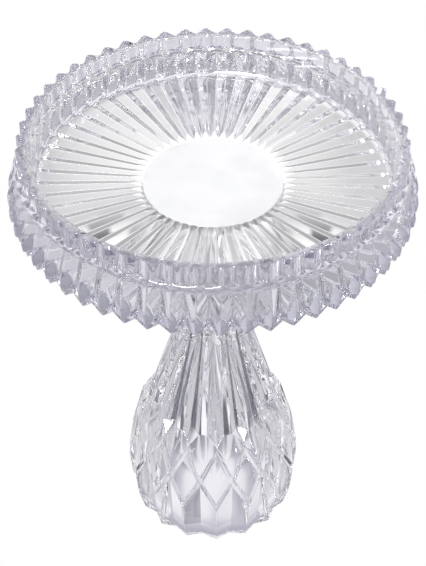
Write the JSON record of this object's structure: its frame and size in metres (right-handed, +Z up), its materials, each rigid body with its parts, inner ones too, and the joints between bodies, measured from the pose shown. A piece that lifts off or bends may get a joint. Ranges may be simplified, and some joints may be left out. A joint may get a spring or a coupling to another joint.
{
  "type": "footed cake stand",
  "caption": "Round serving tray of clear fluted glass with an upright rim and a hanging zigzag skirt, bonded to a tall facet-cut glass pedestal with a hollow pointed foot.",
  "frame": {"origin": "on the table under the middle of the foot", "axes": "+Z up along the axis of the tray and pedestal, -Y towards the front"},
  "size_m": [0.2626, 0.2632, 0.318],
  "materials": {
    "tray_glass": "clear pressed crystal, fire polished",
    "pedestal_glass": "clear crystal with polished flat cuts",
    "adhesive": "light-cured film between ground faces, reads white"
  },
  "bodies": {
    "root": {"tray": "tray_glass", "pedestal": "pedestal_glass", "bond_film": "adhesive"}
  },
  "joints": []
}
